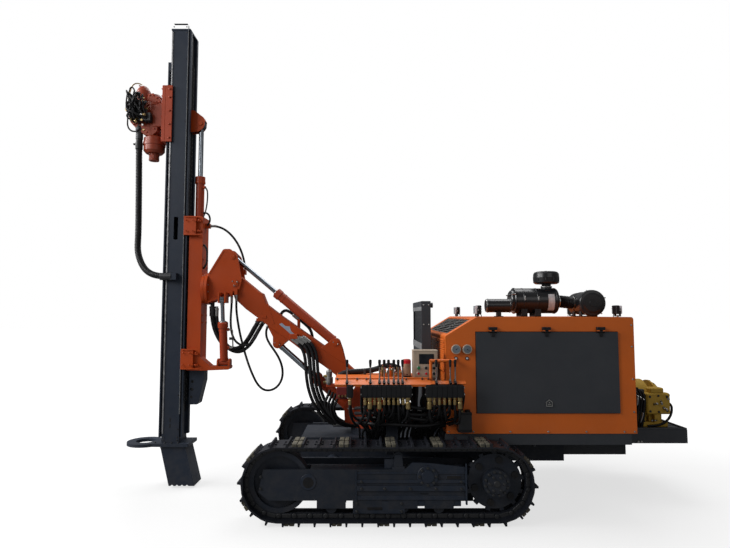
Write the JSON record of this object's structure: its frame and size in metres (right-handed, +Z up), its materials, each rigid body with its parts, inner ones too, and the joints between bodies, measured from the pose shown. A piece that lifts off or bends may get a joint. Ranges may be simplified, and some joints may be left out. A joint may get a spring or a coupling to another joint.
{
  "type": "crawler drilling rig",
  "caption": "Crawler drilling rig: tracks, a power pack cabinet, a table of control levers, a swinging boom and an upright feed mast with a rotary head.",
  "frame": {"origin": "middle of the overall box on the ground", "axes": "+X from the mast towards the cabinet, +Y away from the operator's table, +Z up"},
  "size_m": [5.7703, 2.35, 5.005],
  "materials": {
    "orange_paint": "gloss",
    "red_paint": "gloss",
    "mast_paint": "satin",
    "dark_paint": "satin",
    "black_gloss": "gloss",
    "black_plastic": "matte",
    "track_steel": "matte",
    "wheel_steel": "satin",
    "chrome_rod": "polished",
    "cream_paint": "satin",
    "ochre_paint": "satin",
    "bare_steel": "satin",
    "hose_rubber": "matte",
    "lamp_black": "matte",
    "core_black": "matte"
  },
  "bodies": {
    "base": {"air_cleaner": "black_gloss", "air_end": "ochre_paint", "base_deck": "dark_paint", "brow_grille": "dark_paint", "cabinet_shell": "orange_paint", "chassis_frame": "mast_paint", "control_box": "cream_paint", "control_table": "orange_paint", "cross_cleaner": "black_gloss", "engine_block": "wheel_steel", "fluid_jar": "black_plastic", "front_louvres": "orange_paint", "gauges": "black_plastic", "intake_elbow": "hose_rubber", "levers": "chrome_rod", "muffler": "black_gloss", "oil_cooler": "core_black", "rear_platform": "dark_paint", "side_tank": "dark_paint", "sprocket_far": "wheel_steel", "sprocket_near": "wheel_steel", "track_far": "track_steel", "track_frame_far": "mast_paint", "track_frame_near": "mast_paint", "track_near": "track_steel", "valve_banks": "black_plastic", "wheels_far": "wheel_steel", "wheels_near": "wheel_steel", "work_lamps": "lamp_black"},
    "boom_post": {"boom_post": "red_paint", "under_hose": "hose_rubber"},
    "boom": {"boom": "orange_paint", "tip_hose": "hose_rubber", "loop_hose": "hose_rubber", "drop_hose": "hose_rubber"},
    "lift_barrel": {"lift_barrel": "red_paint"},
    "lift_rod": {"lift_rod": "chrome_rod"},
    "arm_head": {"arm_head": "orange_paint", "slide_hose": "hose_rubber"},
    "pitch_barrel": {"pitch_barrel": "red_paint"},
    "pitch_rod": {"pitch_rod": "chrome_rod"},
    "slide_frame": {"slide_frame": "orange_paint", "tail_bracket": "mast_paint", "push_barrel": "red_paint"},
    "sway_barrel": {"sway_barrel": "red_paint"},
    "sway_rod": {"sway_rod": "chrome_rod"},
    "mast": {"mast": "mast_paint", "push_rod": "chrome_rod", "guide_ring": "mast_paint", "claw_foot": "mast_paint", "drag_hose": "hose_rubber"},
    "carriage": {"carriage": "red_paint", "rotary_head": "red_paint", "head_motor": "red_paint"},
    "spindle": {"spindle": "bare_steel"},
    "turn_barrel": {"turn_barrel": "mast_paint"},
    "turn_rod": {"turn_rod": "chrome_rod"},
    "door_near": {"door_near": "dark_paint"},
    "door_far": {"door_far": "dark_paint"}
  },
  "joints": [
    {"name": "boom_swing", "type": "hinge", "parent": "base", "child": "boom_post", "pos_m": [-0.205, 0, 0.618], "axis": [0, 0, 1], "range_deg": [-30, 30]},
    {"name": "boom_lift", "type": "hinge", "parent": "boom_post", "child": "boom", "pos_m": [-0.249, 0, 1.07], "axis": [0, 1, 0], "range_deg": [-25, 20], "deforming": ["under_hose"]},
    {"name": "feed_pitch", "type": "hinge", "parent": "boom", "child": "arm_head", "pos_m": [-1.664, 0, 2.134], "axis": [0, -1, 0], "range_deg": [-90, 20], "deforming": ["tip_hose", "loop_hose", "drop_hose"]},
    {"name": "feed_swing", "type": "hinge", "parent": "arm_head", "child": "slide_frame", "pos_m": [-2.015, 0, 2.076], "axis": [1, 0, 0], "range_deg": [-40, 40], "deforming": ["slide_hose"]},
    {"name": "feed_extend", "type": "slide", "parent": "slide_frame", "child": "mast", "axis": [0, 0, 1], "range_m": [-0.5, 0.33]},
    {"name": "head_feed", "type": "slide", "parent": "mast", "child": "carriage", "axis": [0, 0, 1], "range_m": [-2.9, 0.1], "deforming": ["drag_hose"]},
    {"name": "spindle_turn", "type": "hinge", "parent": "carriage", "child": "spindle", "pos_m": [-2.605, 0, 3.6], "axis": [0, 0, 1], "continuous": true},
    {"name": "turn_barrel_swing", "type": "hinge", "parent": "base", "child": "turn_barrel", "pos_m": [0.411, 0.25, 0.672], "axis": [0, 0, 1], "range_deg": [-0.93, 0.93]},
    {"name": "turn_rod_slide", "type": "slide", "parent": "turn_barrel", "child": "turn_rod", "axis": [-1, 0, 0], "range_m": [-0.13, 0.13]},
    {"name": "lift_barrel_swing", "type": "hinge", "parent": "boom_post", "child": "lift_barrel", "pos_m": [-0.419, 0, 0.797], "axis": [0, 1, 0], "range_deg": [-25.34, 20.47]},
    {"name": "lift_rod_slide", "type": "slide", "parent": "lift_barrel", "child": "lift_rod", "axis": [-0.7532, 0, 0.6577], "range_m": [-0.1416, 0.1141]},
    {"name": "pitch_barrel_swing", "type": "hinge", "parent": "boom", "child": "pitch_barrel", "pos_m": [-0.58228, 0, 1.49201], "axis": [0, 1, 0], "range_deg": [-1.4, 4.55]},
    {"name": "pitch_rod_slide", "type": "slide", "parent": "pitch_barrel", "child": "pitch_rod", "axis": [-0.7678, 0, 0.6407], "range_m": [-0.4081, 0.0938]},
    {"name": "sway_barrel_swing", "type": "hinge", "parent": "slide_frame", "child": "sway_barrel", "pos_m": [-1.77, -0.07, 1.29], "axis": [1, 0, 0], "range_deg": [-5.83, 5.83]},
    {"name": "sway_rod_slide", "type": "slide", "parent": "sway_barrel", "child": "sway_rod", "axis": [0, -0.1776, 0.9841], "range_m": [-0.1379, 0.1379]},
    {"name": "door_near_open", "type": "hinge", "parent": "base", "child": "door_near", "pos_m": [1.424, -0.845, 1.64], "axis": [-1, 0, 0], "range_deg": [0, 95]},
    {"name": "door_far_open", "type": "hinge", "parent": "base", "child": "door_far", "pos_m": [1.424, 0.845, 1.64], "axis": [1, 0, 0], "range_deg": [0, 95]}
  ],
  "couplings": [
    {"joint": "turn_barrel_swing", "follows": "boom_swing", "ratio": -0.01432},
    {"joint": "turn_rod_slide", "follows": "boom_swing", "m_per_rad": 0.24248},
    {"joint": "lift_barrel_swing", "follows": "boom_lift", "ratio": 0.97361},
    {"joint": "lift_rod_slide", "follows": "boom_lift", "m_per_rad": 0.3154},
    {"joint": "pitch_barrel_swing", "follows": "feed_pitch", "ratio": -0.045},
    {"joint": "pitch_rod_slide", "follows": "feed_pitch", "m_per_rad": 0.25727},
    {"joint": "sway_barrel_swing", "follows": "feed_swing", "ratio": 0.13323},
    {"joint": "sway_rod_slide", "follows": "feed_swing", "m_per_rad": 0.19322}
  ]
}
